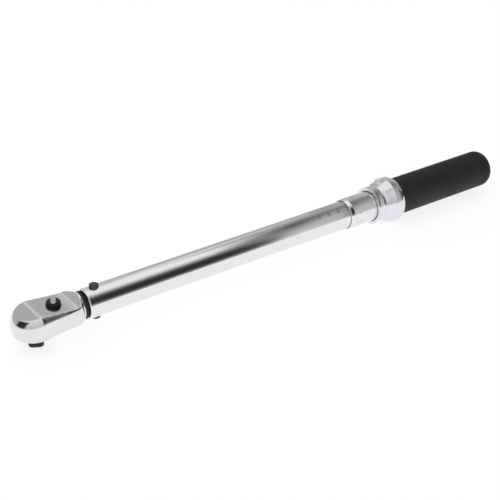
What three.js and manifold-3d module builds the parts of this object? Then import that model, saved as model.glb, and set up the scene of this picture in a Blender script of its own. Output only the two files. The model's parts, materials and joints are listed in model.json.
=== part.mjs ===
// Micrometer click torque wrench, 3/8 inch square drive, reversible ratchet head.
// Units are millimetres, +Z up. The origin is the centre of the end face of the square drive,
// +X runs along the wrench from the drive towards the grip, and the ratchet lever is on top.
// Inside the group called `wrench`, z = 0 is the axis of the tube.
import * as THREE from 'three';
import { mergeVertices } from 'three/addons/utils/BufferGeometryUtils.js';
import Module from 'manifold-3d';

// ---- driving dimensions ----
const AXIS_Z = 16.7;            // height of the tube axis above the tip of the drive
const SQUARE = 9.53;          // across the flats of the square drive (3/8 inch)
const HEAD_R = 14.7;            // round end of the head
const HEAD_TOP = 8.45;        // crease of the head's top above the tube axis
const HEAD_BOT = -8;          // underside of the head
const NECK_HALF = 11.7;       // half width of the neck where it meets the collar
const COLLAR_X = 30.3;        // rear face of the collar
const TUBE_R = 10, TUBE_IR = 8.4;
const TUBE_X0 = 33.5, TUBE_X1 = 322;
const PIN_X = 41.4, PIN_R = 3, PIN_HALF = 12.2;
const ARM_X1 = 80;            // end of the arm inside the tube
const LEVER_X = 13.5, LEVER_R = 4.6, LEVER_ANGLE = 64;   // lever tongue, degrees from +X
const DRIVE_TURN = -28;       // rest position of the square drive, degrees about Z
const BALL_Z = -12.2;         // height of the socket-retaining ball
const DETENT_X = 17.5;
const GEAR_TEETH = 32, GEAR_TIP = 10.2, GEAR_ROOT = 9.5;
const THIMBLE_R = 11, THIMBLE_IR = 10.3, THIMBLE_X0 = 240, THIMBLE_X1 = 361;
const RING_X0 = 263.5, RING_X1 = 285.8, RING_R = 16.6;
const GRIP_R = 13.4, GRIP_IR = 11.3, GRIP_X0 = 285, GRIP_SEAM = 331.5, GRIP_X1 = 378;
const SCREW_R = 5.7, NUT_X0 = 296, NUT_X1 = 314;
const BALL_X = 277.5;         // plane of the three lock balls
const GAP = 0.3;              // running gap between separate pieces

const wasm = await Module();
wasm.setup();

// ---- helpers ----
function clean(geometry) {
  const g = geometry.clone();
  g.deleteAttribute('normal');
  g.deleteAttribute('uv');
  const m = mergeVertices(g, 1e-4);
  const src = m.index.array, keep = [];
  for (let i = 0; i < src.length; i += 3) {
    const a = src[i], b = src[i + 1], c = src[i + 2];
    if (a !== b && b !== c && c !== a) keep.push(a, b, c);
  }
  const p = m.attributes.position.array;
  let volume = 0;
  for (let i = 0; i < keep.length; i += 3) {
    const a = keep[i] * 3, b = keep[i + 1] * 3, c = keep[i + 2] * 3;
    volume += p[a] * (p[b + 1] * p[c + 2] - p[b + 2] * p[c + 1])
            + p[a + 1] * (p[b + 2] * p[c] - p[b] * p[c + 2])
            + p[a + 2] * (p[b] * p[c + 1] - p[b + 1] * p[c]);
  }
  if (volume < 0) for (let i = 0; i < keep.length; i += 3) [keep[i + 1], keep[i + 2]] = [keep[i + 2], keep[i + 1]];
  m.setIndex(keep);
  return m;
}
function solid(geometry) {
  const g = clean(geometry);
  return new wasm.Manifold(new wasm.Mesh({
    numProp: 3,
    vertProperties: new Float32Array(g.attributes.position.array),
    triVerts: new Uint32Array(g.index.array),
  }));
}
function shell(manifold) {
  const m = manifold.getMesh();
  const g = new THREE.BufferGeometry();
  g.setAttribute('position', new THREE.BufferAttribute(new Float32Array(m.vertProperties), 3));
  g.setIndex(Array.from(m.triVerts));
  return clean(g);
}
const rad = THREE.MathUtils.degToRad;
const v2 = (list) => list.map(([x, y]) => new THREE.Vector2(x, y));
// profile is a list of [x along the axis, radius]
function latheX(profile, segments = 28) {
  const g = new THREE.LatheGeometry(v2(profile.map(([s, r]) => [r, s])), segments);
  g.rotateZ(-Math.PI / 2);
  return clean(g);
}
// profile is a list of [z along the axis, radius]
function latheZ(profile, segments = 32, x = 0, y = 0) {
  const g = new THREE.LatheGeometry(v2(profile.map(([s, r]) => [r, s])), segments);
  g.rotateX(Math.PI / 2);
  g.translate(x, y, 0);
  return clean(g);
}
const tubeX = (x0, x1, ro, ri, segments = 32) => latheX([[x0, ri], [x1, ri], [x1, ro], [x0, ro], [x0, ri]], segments);
const rodX = (x0, x1, r, segments = 32) => latheX([[x0, 0], [x0, r], [x1, r], [x1, 0]], segments);
const tubeZ = (z0, z1, ro, ri, segments = 32, x = 0, y = 0) => latheZ([[z0, ri], [z1, ri], [z1, ro], [z0, ro], [z0, ri]], segments, x, y);
const rodZ = (z0, z1, r, segments = 32, x = 0, y = 0) => latheZ([[z0, 0], [z0, r], [z1, r], [z1, 0]], segments, x, y);
function plate(points, z0, z1, holes = []) {
  const s = new THREE.Shape(v2(points));
  for (const h of holes) s.holes.push(new THREE.Path(v2(h)));
  const g = new THREE.ExtrudeGeometry(s, { depth: z1 - z0, bevelEnabled: false, curveSegments: 8 });
  g.translate(0, 0, z0);
  return clean(g);
}
function box(x0, x1, y0, y1, z0, z1) {
  const g = new THREE.BoxGeometry(x1 - x0, y1 - y0, z1 - z0);
  g.translate((x0 + x1) / 2, (y0 + y1) / 2, (z0 + z1) / 2);
  return g;
}
const circle = (cx, cy, r, n) => Array.from({ length: n }, (_, i) => [cx + r * Math.cos(2 * Math.PI * i / n), cy + r * Math.sin(2 * Math.PI * i / n)]);
class Helix extends THREE.Curve {
  constructor(radius, length, turns) { super(); this.radius = radius; this.length = length; this.turns = turns; }
  getPoint(t, target = new THREE.Vector3()) {
    const a = 2 * Math.PI * this.turns * t;
    return target.set(this.length * t, this.radius * Math.cos(a), this.radius * Math.sin(a));
  }
}
// compression spring along +X between x0 and x1, coil ends inside those faces
function spring(x0, x1, meanR, wireR, turns, perTurn = 11, sides = 5) {
  const path = new Helix(meanR, x1 - x0 - 2 * wireR, turns);
  path.arcLengthDivisions = turns * 40;
  const g = new THREE.ExtrudeGeometry(new THREE.Shape(v2(circle(0, 0, wireR, sides))),
    { steps: Math.round(turns * perTurn), bevelEnabled: false, extrudePath: path });
  g.translate(x0 + wireR, 0, 0);
  return clean(g);
}
function ball(r, x, y, z) {
  const g = new THREE.SphereGeometry(r, 10, 7);
  g.translate(x, y, z);
  return clean(g);
}

// ---- materials ----
const metal = (color, roughness) => new THREE.MeshStandardMaterial({ color, roughness, metalness: 1 });
const chrome = metal(0xd9dade, 0.12);
const steel = metal(0x9a9b9e, 0.35);
const darkSteel = metal(0x2a2a2c, 0.4);
const springSteel = metal(0x6b6a68, 0.35);
const brass = metal(0xb08d45, 0.3);
const blackRubber = new THREE.MeshStandardMaterial({ color: 0x151516, roughness: 0.7, metalness: 0 });
const blackPlastic = new THREE.MeshStandardMaterial({ color: 0x262628, roughness: 0.45, metalness: 0 });

const part = new THREE.Group();
const wrench = new THREE.Group();
wrench.position.z = AXIS_Z;
part.add(wrench);
function add(name, geometry, material, parent = wrench) {
  geometry.computeVertexNormals();
  const m = new THREE.Mesh(geometry, material);
  m.name = name;
  parent.add(m);
  return m;
}

// ---- head: drop forging with the ratchet bore, the pawl pocket and the arm that runs inside the tube ----
const ROUND = 3.6;
{
  const pts = [];
  const tangent = Math.acos((HEAD_R - NECK_HALF) / 29.5);     // where the straight sides leave the round end
  for (let i = 0; i <= 24; i++) {
    const a = tangent + (2 * Math.PI - 2 * tangent) * i / 24;
    pts.push([HEAD_R * Math.cos(a), HEAD_R * Math.sin(a)]);
  }
  pts.push([29.5, -NECK_HALF], [29.5, NECK_HALF]);
  const g = new THREE.ExtrudeGeometry(new THREE.Shape(v2(pts)), {
    depth: HEAD_TOP - HEAD_BOT - 2 * ROUND, bevelEnabled: true, bevelThickness: ROUND,
    bevelSize: ROUND, bevelOffset: -ROUND, bevelSegments: 3,
  });
  g.translate(0, 0, HEAD_BOT + ROUND);
  let head = solid(g);
  // the neck turns round towards the collar
  head = head.intersect(solid(latheX([[-20, 0], [-20, 22], [22, 15], [27.5, 12.2], [29.4, 9.5], [30, 9.5], [30, 0]], 40)));
  // two shallow facets fall from a straight crease, one to the tip and one to the neck
  const facet = box(-40, 0, -30, 30, 0, 10);
  facet.rotateY(-rad(8)).translate(-0.4, 0, HEAD_TOP);
  head = head.subtract(solid(facet));
  const slope = plate([[-0.4, HEAD_TOP], [16.5, 6.7], [20, 6.45], [31, 6.35], [31, 14], [-0.4, 14]], -30, 30);
  head = head.subtract(solid(slope.rotateX(Math.PI / 2)));
  // round collar, ring groove and the round root of the arm
  head = head.add(solid(latheX([[20, 0], [20, 4.5], [24, 6.3], [28.4, 8.8], [29.2, 9.3], [COLLAR_X, 9.3], [COLLAR_X, 7.6], [52, 7.6], [52, 0]], 32)));
  // flat tapering arm
  head = head.add(solid(plate([[50, -5.6], [ARM_X1, -4.2], [ARM_X1, 4.2], [50, 5.6]], -5, 5)));
  // bore for the ratchet gear, with a groove for its retaining ring
  head = head.subtract(solid(latheZ([[HEAD_BOT - 1, 0], [HEAD_BOT - 1, 10.8], [-7.3, 10.8], [-7.3, 11.5], [-6.3, 11.5], [-6.3, 10.8], [5, 10.8], [5, 0]], 32)));
  // pocket for the pawl, open to the gear bore
  head = head.subtract(solid(plate([[8, -6.4], [11.6, -6.4], [14.4, -4.4], [16.55, -1.5], [16.55, 1.5], [14.4, 4.4], [11.6, 6.4], [8, 6.4]], -5, 4.6)));
  // lever recess in the top face, its stem hole and the detent hole
  head = head.subtract(solid(rodZ(5.9, HEAD_TOP + 2, LEVER_R + 0.3, 36, LEVER_X, 0)));
  head = head.subtract(solid(rodZ(4, 7, 1.85, 20, LEVER_X, 0)));
  head = head.subtract(solid(rodZ(2.6, 6.3, 0.62, 12, DETENT_X, 0)));
  // hole for the pivot pin
  head = head.subtract(solid(rodZ(-9, 9, PIN_R + 0.3, 24, PIN_X, 0)));
  add('head_body', shell(head), chrome);
}
add('neck_ring', tubeX(COLLAR_X + 0.2, 32.8, 9.15, 7.9, 32), blackRubber);

// ---- ratchet gear with the square drive in one piece ----
{
  const pts = [];
  for (let i = 0; i < GEAR_TEETH; i++) {
    for (const [f, r] of [[0, GEAR_ROOT], [0.36, GEAR_TIP], [0.56, GEAR_TIP], [0.92, GEAR_ROOT]]) {
      const a = 2 * Math.PI * (i + f) / GEAR_TEETH;
      pts.push([r * Math.cos(a), r * Math.sin(a)]);
    }
  }
  let gear = solid(plate(pts, -5.2, 4.6));
  gear = gear.add(solid(rodZ(-7.9, -5, 6.6, 32)));
  const h = SQUARE / 2, c = 1, CHAMFER = 1;
  const sq = (k) => [[h - k, -h + c], [h - k, h - c], [h - c, h - k], [-h + c, h - k], [-h + k, h - c], [-h + k, -h + c], [-h + c, -h + k], [h - c, -h + k]];
  const g = new THREE.ExtrudeGeometry(new THREE.Shape(v2(sq(0))), {
    depth: 10.6 - CHAMFER, bevelEnabled: true, bevelThickness: CHAMFER, bevelSize: CHAMFER, bevelOffset: -CHAMFER, bevelSegments: 1,
  });
  g.translate(0, 0, -AXIS_Z + CHAMFER);
  gear = gear.add(solid(g));
  // blind cross hole for the socket-retaining ball and its spring
  gear = gear.subtract(solid(rodX(-6, 3.2, 1.75, 16).translate(0, 0, BALL_Z)));
  add('gear_drive', shell(gear).rotateZ(rad(DRIVE_TURN)), darkSteel);
}
add('drive_ball', ball(1.5, -4.1, 0, BALL_Z).rotateZ(rad(DRIVE_TURN)), steel);
add('drive_ball_spring', spring(-2.3, 2.8, 1.05, 0.25, 4, 7, 4).translate(0, 0, BALL_Z).rotateZ(rad(DRIVE_TURN)), springSteel);
add('gear_washer', tubeZ(-6.2, -5.4, 10.5, 7, 32), steel);
{
  // circlip: an open ring that springs into the groove of the bore
  const pts = [];
  for (let i = 0; i <= 26; i++) { const a = rad(200 + 320 * i / 26); pts.push([11.3 * Math.cos(a), 11.3 * Math.sin(a)]); }
  for (let i = 26; i >= 0; i--) { const a = rad(200 + 320 * i / 26); pts.push([9.9 * Math.cos(a), 9.9 * Math.sin(a)]); }
  add('gear_circlip', plate(pts, -7.2, -6.4), darkSteel);
}

// ---- pawl and reversing lever ----
{
  const pts = [];
  for (let i = 0; i <= 8; i++) {
    const a = rad(-22.5 + 5.625 * i), r = i % 2 ? 10.7 : 11.15;
    pts.push([r * Math.cos(a), r * Math.sin(a)]);
  }
  pts.push([11.9, 4.4]);
  for (let i = 0; i <= 10; i++) { const a = rad(100 - 20 * i); pts.push([LEVER_X + 2.8 * Math.cos(a), 2.8 * Math.sin(a)]); }
  pts.push([11.9, -4.4]);
  const g = plate(pts, -3.6, 4.2, [circle(LEVER_X, 0, 1.8, 20)]);
  g.translate(-LEVER_X, 0, 0).rotateZ(rad(3)).translate(LEVER_X, 0, 0);
  add('pawl', g, darkSteel);
}
{
  let lever = solid(latheZ([[-4.7, 0], [-4.7, 1.5], [6.15, 1.5], [6.15, LEVER_R], [9, LEVER_R], [9.85, LEVER_R - 0.5], [10.2, LEVER_R - 1.3], [10.2, 0]], 36));
  const tongue = plate([[-3.6, -1.6], [LEVER_R - 0.5, -1.7], [LEVER_R + 0.1, -1.1], [LEVER_R + 0.1, 1.1], [LEVER_R - 0.5, 1.7], [-3.6, 1.6]], 9.2, 10.7);
  lever = lever.add(solid(tongue.rotateZ(rad(LEVER_ANGLE))));
  const g = shell(lever);
  g.translate(LEVER_X, 0, 0);
  add('reversing_lever', g, steel);
}
add('lever_clip', tubeZ(-4.5, -3.95, 2.5, 1.65, 20, LEVER_X, 0), springSteel);
add('detent_ball', ball(0.5, DETENT_X, 0, 5.4), steel);
add('detent_spring', spring(0, 2, 0.36, 0.14, 3, 8, 4).rotateY(-Math.PI / 2).translate(DETENT_X, 0, 2.75), springSteel);

// ---- tube, pivot pin and the fixed thread bush ----
{
  let tube = solid(latheX([[TUBE_X0, TUBE_IR], [TUBE_X1, TUBE_IR], [TUBE_X1, TUBE_R - 0.4], [TUBE_X1 - 0.4, TUBE_R], [TUBE_X0 + 1.2, TUBE_R], [TUBE_X0 + 0.3, TUBE_R - 0.4], [TUBE_X0, TUBE_R - 1], [TUBE_X0, TUBE_IR]], 36));
  tube = tube.subtract(solid(rodZ(-12, 12, PIN_R + 0.1, 24, PIN_X, 0)));
  tube = tube.subtract(solid(rodZ(-12, 12, 1.7, 14, 305, 0)));
  add('tube', shell(tube), chrome);
}
add('pivot_pin', latheZ([[-PIN_HALF, 0], [-PIN_HALF, 1.9], [-PIN_HALF + 0.7, PIN_R], [PIN_HALF - 0.7, PIN_R], [PIN_HALF, 1.9], [PIN_HALF, 0]], 24, PIN_X, 0), darkSteel);
{
  let nut = solid(tubeX(NUT_X0, NUT_X1, TUBE_IR - GAP, SCREW_R + GAP, 36));
  nut = nut.subtract(solid(rodZ(-12, 12, 1.7, 14, 305, 0)));
  add('thread_bush', shell(nut), brass);
}
add('bush_pin_top', rodZ(6.3, 9.8, 1.4, 14, 305, 0), steel);
add('bush_pin_bottom', rodZ(-9.8, -6.3, 1.4, 14, 305, 0), steel);

// ---- click mechanism: tilt block, plunger, main spring, spring seat ----
add('tilt_block', plate([[80.35, -1.7], [81.6, -3.4], [86.1, -3.4], [87.35, -1.7], [87.35, 1.7], [86.1, 3.4], [81.6, 3.4], [80.35, 1.7]], -3.5, 3.5), steel);
add('plunger', latheX([[88, 0], [88, 7.4], [88.7, TUBE_IR - GAP], [103.5, TUBE_IR - GAP], [104, 7.6], [104, 4.5], [115.5, 4.5], [116, 4], [116, 0]], 32), steel);
add('main_spring', spring(104.2, 252.1, 6.25, 1.3, 13), springSteel);
add('spring_seat', latheX([[244, 0], [244, 4], [244.5, 4.5], [252.3, 4.5], [252.3, TUBE_IR - GAP], [262, TUBE_IR - GAP], [262, 3.6], [260.2, 0]], 32), steel);
add('thrust_ball', ball(2.5, 264.3, 0, 0), steel);

// ---- handle: thimble, adjusting screw and its fixing at the rear ----
{
  let thimble = solid(latheX([[THIMBLE_X0, THIMBLE_IR], [THIMBLE_X1, THIMBLE_IR], [THIMBLE_X1, THIMBLE_R], [THIMBLE_X0 + 3, THIMBLE_R], [THIMBLE_X0, THIMBLE_IR + 0.25], [THIMBLE_X0, THIMBLE_IR]], 36));
  for (let i = 0; i < 3; i++) {
    const hole = rodZ(8, 13, 1.45, 12, BALL_X, 0);
    thimble = thimble.subtract(solid(hole.rotateX(rad(120 * i))));
  }
  thimble = thimble.subtract(solid(rodZ(-14, 14, 2.1, 14, 355, 0)));
  add('thimble', shell(thimble), chrome);
}
add('adjusting_screw', latheX([[267.1, 0], [267.1, 3.6], [268, 4.5], [276, 4.5], [277, SCREW_R], [350, SCREW_R], [350, 4], [366.6, 4], [367.4, 3.3], [367.4, 0]], 28), steel);
{
  let plug = solid(tubeX(350.5, 360, THIMBLE_IR - GAP, 4.3, 36));
  plug = plug.subtract(solid(rodZ(-14, 14, 2.1, 14, 355, 0)));
  add('handle_plug', shell(plug), steel);
}
add('plug_screw_top', rodZ(6, 10.9, 1.8, 14, 355, 0), darkSteel);
add('plug_screw_bottom', rodZ(-10.9, -6, 1.8, 14, 355, 0), darkSteel);
add('screw_washer', tubeX(360.3, 361.5, 8, 4.3, 28), steel);
{
  const g = plate(circle(0, 0, 7.2, 6), 361.8, 366.8, [circle(0, 0, 4.3, 20)]);
  add('lock_nut', g.rotateY(Math.PI / 2), steel);
}

// ---- lock ring with its spring and three balls ----
add('lock_ring', latheX([
  [RING_X0, THIMBLE_R + 0.35], [272, THIMBLE_R + 0.35], [272.5, 13.3], [275.4, 13.3], [276.2, 12.8], [280, 12.8], [280, 11.35], [281.2, 11.35],
  [281.2, GRIP_R + 0.35], [RING_X1, GRIP_R + 0.35], [RING_X1, 15.5], [285.2, 16], [283.2, RING_R], [278.8, RING_R], [276, 15.4], [272.4, 14.4],
  [270.8, 13.4], [270, 13.2], [269.2, 13.5], [264, 13.5], [RING_X0, 13], [RING_X0, THIMBLE_R + 0.35]], 40), chrome);
add('lock_stop_ring', tubeX(279.1, 279.7, 12.2, 11.15, 28), springSteel);
add('lock_spring', spring(281.5, 294.6, 11.85, 0.38, 4, 14, 4), springSteel);
['lock_ball_a', 'lock_ball_b', 'lock_ball_c'].forEach((name, i) => {
  add(name, ball(1.2, BALL_X, 0, 11.35).rotateX(rad(120 * i)), steel);
});

// ---- grip: moulded front sleeve, closed rear piece and a press-in cap ----
add('grip_sleeve', latheX([[GRIP_X0, 12.4], [295, 12.4], [295, GRIP_IR], [GRIP_SEAM - 0.2, GRIP_IR], [GRIP_SEAM - 0.2, GRIP_R - 0.15], [GRIP_SEAM - 0.4, GRIP_R], [286, GRIP_R], [GRIP_X0, GRIP_R - 0.3], [GRIP_X0, 12.4]], 36), blackPlastic);
add('grip_rear', latheX([[GRIP_SEAM + 0.1, GRIP_IR], [371, GRIP_IR], [371, 6.6], [GRIP_X1, 6.6], [GRIP_X1, 9.4], [377.5, 10.9], [376.3, 12.2], [374.6, 13.1], [372.2, GRIP_R], [GRIP_SEAM + 0.3, GRIP_R], [GRIP_SEAM + 0.1, GRIP_R - 0.15], [GRIP_SEAM + 0.1, GRIP_IR]], 36), blackPlastic);
add('end_cap', latheX([[372, 0], [372, 5.6], [375.4, 6.25], [GRIP_X1 + 0.2, 6.25], [GRIP_X1 + 0.9, 5.2], [GRIP_X1 + 1.1, 0]], 32), blackPlastic);

export default part;
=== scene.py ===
import json
import math
import bpy
import bmesh
from mathutils import Vector, Matrix


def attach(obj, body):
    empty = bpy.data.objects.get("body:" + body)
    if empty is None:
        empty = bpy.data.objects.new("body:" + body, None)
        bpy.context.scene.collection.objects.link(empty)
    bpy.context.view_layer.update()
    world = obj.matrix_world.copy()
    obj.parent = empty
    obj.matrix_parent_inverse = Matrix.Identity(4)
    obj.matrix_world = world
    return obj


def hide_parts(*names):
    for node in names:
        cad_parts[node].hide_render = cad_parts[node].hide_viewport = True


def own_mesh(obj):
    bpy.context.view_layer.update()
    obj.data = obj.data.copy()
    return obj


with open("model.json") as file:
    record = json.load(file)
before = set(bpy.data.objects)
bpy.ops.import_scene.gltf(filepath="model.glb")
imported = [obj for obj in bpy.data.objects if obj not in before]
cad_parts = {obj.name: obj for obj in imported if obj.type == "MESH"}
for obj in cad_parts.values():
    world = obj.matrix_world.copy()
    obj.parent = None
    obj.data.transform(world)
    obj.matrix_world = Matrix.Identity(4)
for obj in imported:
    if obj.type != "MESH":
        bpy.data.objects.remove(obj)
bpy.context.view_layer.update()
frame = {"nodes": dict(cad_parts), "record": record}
S = 0.001            # millimetres to metres
AXZ = 16.7           # height of the tube axis above the drive tip, in millimetres
scene = bpy.context.scene


# ---------------------------------------------------------------- mesh helpers
def make(name, verts, faces, mat, body, smooth=35.0, replaces=(), slot=None):
    """verts in millimetres about the tube axis (z = 0 on the axis)."""
    me = bpy.data.meshes.new(name)
    me.from_pydata([(x * S, y * S, (z + AXZ) * S) for x, y, z in verts], [], faces)
    me.validate()
    return finish_mesh(name, me, mat, body, smooth, replaces)


def finish_mesh(name, me, mat, body, smooth=35.0, replaces=()):
    bm = bmesh.new()
    bm.from_mesh(me)
    bmesh.ops.remove_doubles(bm, verts=bm.verts, dist=2e-7)
    bmesh.ops.recalc_face_normals(bm, faces=bm.faces)
    if bm.calc_volume(signed=True) < 0:
        bmesh.ops.reverse_faces(bm, faces=bm.faces)
    bm.to_mesh(me)
    bm.free()
    for m in (mat if isinstance(mat, (list, tuple)) else [mat]):
        if m is not None:
            me.materials.append(m)
    ob = bpy.data.objects.new(name, me)
    scene.collection.objects.link(ob)
    shade(ob, smooth)
    if body:
        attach(ob, body)
    if replaces:
        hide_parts(*replaces)
    return ob


def shade(ob, smooth):
    me = ob.data
    me.shade_smooth()
    me.set_sharp_from_angle(angle=math.radians(smooth))


def fillet(points, steps=6, closed=False):
    """points: (a, b, radius). Rounds each corner of the polyline with an arc of that radius."""
    out = []
    n = len(points)
    for i, p in enumerate(points):
        a, b = p[0], p[1]
        r = p[2] if len(p) > 2 else 0.0
        if r <= 0 or (not closed and i in (0, n - 1)):
            out.append((a, b))
            continue
        p0 = Vector(points[(i - 1) % n][:2])
        p1 = Vector((a, b))
        p2 = Vector(points[(i + 1) % n][:2])
        u = (p0 - p1)
        v = (p2 - p1)
        lu, lv = u.length, v.length
        if lu < 1e-9 or lv < 1e-9:
            out.append((a, b))
            continue
        u.normalize()
        v.normalize()
        ang = math.acos(max(-1, min(1, u.dot(v))))
        if ang > math.pi - 1e-3:
            out.append((a, b))
            continue
        t = min(r / math.tan(ang / 2), lu * 0.499, lv * 0.499)
        rr = t * math.tan(ang / 2)
        c = p1 + (u + v).normalized() * (rr / math.sin(ang / 2))
        s = p1 + u * t - c
        e = p1 + v * t - c
        a0 = math.atan2(s.y, s.x)
        a1 = math.atan2(e.y, e.x)
        d = (a1 - a0 + math.pi) % (2 * math.pi) - math.pi
        for k in range(steps + 1):
            w = a0 + d * k / steps
            out.append((c.x + rr * math.cos(w), c.y + rr * math.sin(w)))
    return out


def lathe_data(profile, seg, axis="X", centre=(0, 0)):
    """profile: list of (along, radius). A closed profile repeats its first point; otherwise it starts and ends on the axis."""
    verts, faces, rings = [], [], []
    closed = abs(profile[0][0] - profile[-1][0]) < 1e-9 and abs(profile[0][1] - profile[-1][1]) < 1e-9
    pts = profile[:-1] if closed else profile
    for a, r in pts:
        if r < 1e-6:
            rings.append([len(verts)])
            verts.append((a, 0.0, 0.0) if axis == "X" else (centre[0], centre[1], a))
        else:
            ids = []
            for k in range(seg):
                w = 2 * math.pi * k / seg
                c, s = r * math.cos(w), r * math.sin(w)
                ids.append(len(verts))
                verts.append((a, c, s) if axis == "X" else (centre[0] + c, centre[1] + s, a))
            rings.append(ids)
    pairs = [(i, i + 1) for i in range(len(rings) - 1)]
    if closed:
        pairs.append((len(rings) - 1, 0))
    for i, j in pairs:
        A, B = rings[i], rings[j]
        if len(A) == 1 and len(B) == 1:
            continue
        for k in range(seg):
            k2 = (k + 1) % seg
            if len(A) == 1:
                faces.append((A[0], B[k2], B[k]))
            elif len(B) == 1:
                faces.append((A[k], A[k2], B[0]))
            else:
                faces.append((A[k], A[k2], B[k2], B[k]))
    return verts, faces


def lathe(name, profile, seg, mat, body, axis="X", centre=(0, 0), smooth=35.0, replaces=(), slot=None):
    v, f = lathe_data(profile, seg, axis, centre)
    return make(name, v, f, mat, body, smooth, replaces, slot)


def cutter(verts, faces):
    me = bpy.data.meshes.new("cut")
    me.from_pydata([(x * S, y * S, (z + AXZ) * S) for x, y, z in verts], [], faces)
    bm = bmesh.new()
    bm.from_mesh(me)
    bmesh.ops.remove_doubles(bm, verts=bm.verts, dist=2e-7)
    bmesh.ops.recalc_face_normals(bm, faces=bm.faces)
    if bm.calc_volume(signed=True) < 0:
        bmesh.ops.reverse_faces(bm, faces=bm.faces)
    bm.to_mesh(me)
    bm.free()
    ob = bpy.data.objects.new("cut", me)
    scene.collection.objects.link(ob)
    return ob


def boolean(ob, cutters, op="DIFFERENCE"):
    for c in cutters:
        m = ob.modifiers.new("b", "BOOLEAN")
        m.operation = op
        m.solver = "EXACT"
        m.object = c
    bpy.context.view_layer.update()
    dg = bpy.context.evaluated_depsgraph_get()
    me = bpy.data.meshes.new_from_object(ob.evaluated_get(dg))
    ob.modifiers.clear()
    old = ob.data
    ob.data = me
    bpy.data.meshes.remove(old)
    for c in cutters:
        d = c.data
        bpy.data.objects.remove(c)
        bpy.data.meshes.remove(d)
    return ob


def prism(points, z0, z1):
    """closed prism between two heights; points go round once."""
    n = len(points)
    v = [(x, y, z0) for x, y in points] + [(x, y, z1) for x, y in points]
    f = [tuple(range(n - 1, -1, -1)), tuple(range(n, 2 * n))]
    f += [(k, (k + 1) % n, n + (k + 1) % n, n + k) for k in range(n)]
    return v, f


def spin_z(points, cx, cy, deg):
    c, s = math.cos(math.radians(deg)), math.sin(math.radians(deg))
    return [(cx + x * c - y * s, cy + x * s + y * c) for x, y in points]


def helix(x0, x1, mean_r, wire_r, turns, per_turn=28, sides=10, dead=0.8):
    """wire along a helix on X, with closed (dead) end coils, as one closed tube."""
    n = int(turns * per_turn)
    L = x1 - x0 - 2 * wire_r
    verts, faces = [], []

    def along(t):          # t in turns; the end coils lie nearly flat
        pitch_dead = wire_r * 2.02
        live = turns - 2 * dead
        rest = L - 2 * dead * pitch_dead
        if t < dead:
            return t * pitch_dead
        if t > turns - dead:
            return L - (turns - t) * pitch_dead
        return dead * pitch_dead + (t - dead) / live * rest
    pts = []
    for i in range(n + 1):
        t = turns * i / n
        a = 2 * math.pi * t
        pts.append(Vector((x0 + wire_r + along(t), mean_r * math.cos(a), mean_r * math.sin(a))))
    for i, p in enumerate(pts):
        d = (pts[min(i + 1, n)] - pts[max(i - 1, 0)]).normalized()
        r = Vector((0, p.y, p.z)).normalized()
        r = (r - d * r.dot(d)).normalized()
        b = d.cross(r)
        for k in range(sides):
            w = 2 * math.pi * k / sides
            q = p + (r * math.cos(w) + b * math.sin(w)) * wire_r
            verts.append((q.x, q.y, q.z))
    for i in range(n):
        for k in range(sides):
            k2 = (k + 1) % sides
            faces.append((i * sides + k, i * sides + k2, (i + 1) * sides + k2, (i + 1) * sides + k))
    faces.append(tuple(range(sides - 1, -1, -1)))
    faces.append(tuple(n * sides + k for k in range(sides)))
    return verts, faces


# ---------------------------------------------------------------- materials
def mat(name):
    m = bpy.data.materials.new(name)
    m.use_nodes = True
    nt = m.node_tree
    nt.nodes.clear()
    out = nt.nodes.new("ShaderNodeOutputMaterial")
    b = nt.nodes.new("ShaderNodeBsdfPrincipled")
    nt.links.new(b.outputs[0], out.inputs[0])
    return m, nt, b


def N(nt, kind, **kw):
    n = nt.nodes.new(kind)
    for k, v in kw.items():
        if k in n.inputs:
            n.inputs[k].default_value = v
        else:
            setattr(n, k, v)
    return n


def coords(nt, scale=(1, 1, 1)):
    t = N(nt, "ShaderNodeTexCoord")
    mp = N(nt, "ShaderNodeMapping")
    mp.inputs["Scale"].default_value = scale
    nt.links.new(t.outputs["Object"], mp.inputs["Vector"])
    return mp.outputs[0]


def noise(nt, vec, scale, detail=3.0, rough=0.55):
    n = N(nt, "ShaderNodeTexNoise")
    n.inputs["Scale"].default_value = scale
    n.inputs["Detail"].default_value = detail
    n.inputs["Roughness"].default_value = rough
    nt.links.new(vec, n.inputs["Vector"])
    return n.outputs["Fac"]


def rng(nt, val, a, b, c, d):
    n = N(nt, "ShaderNodeMapRange")
    n.inputs["From Min"].default_value = a
    n.inputs["From Max"].default_value = b
    n.inputs["To Min"].default_value = c
    n.inputs["To Max"].default_value = d
    nt.links.new(val, n.inputs["Value"])
    return n.outputs["Result"]


def mixc(nt, fac, c1, c2, mode="MIX"):
    n = N(nt, "ShaderNodeMix")
    n.data_type = "RGBA"
    n.blend_type = mode
    for sock, v in ((n.inputs["Factor"], fac), (n.inputs["A"], c1), (n.inputs["B"], c2)):
        if hasattr(v, "links") or isinstance(v, bpy.types.NodeSocket):
            nt.links.new(v, sock)
        else:
            sock.default_value = v
    return n.outputs["Result"]


def add_bump(nt, b, height, strength, distance):
    n = N(nt, "ShaderNodeBump")
    n.inputs["Strength"].default_value = strength
    n.inputs["Distance"].default_value = distance
    nt.links.new(height, n.inputs["Height"])
    nt.links.new(n.outputs[0], b.inputs["Normal"])


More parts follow.
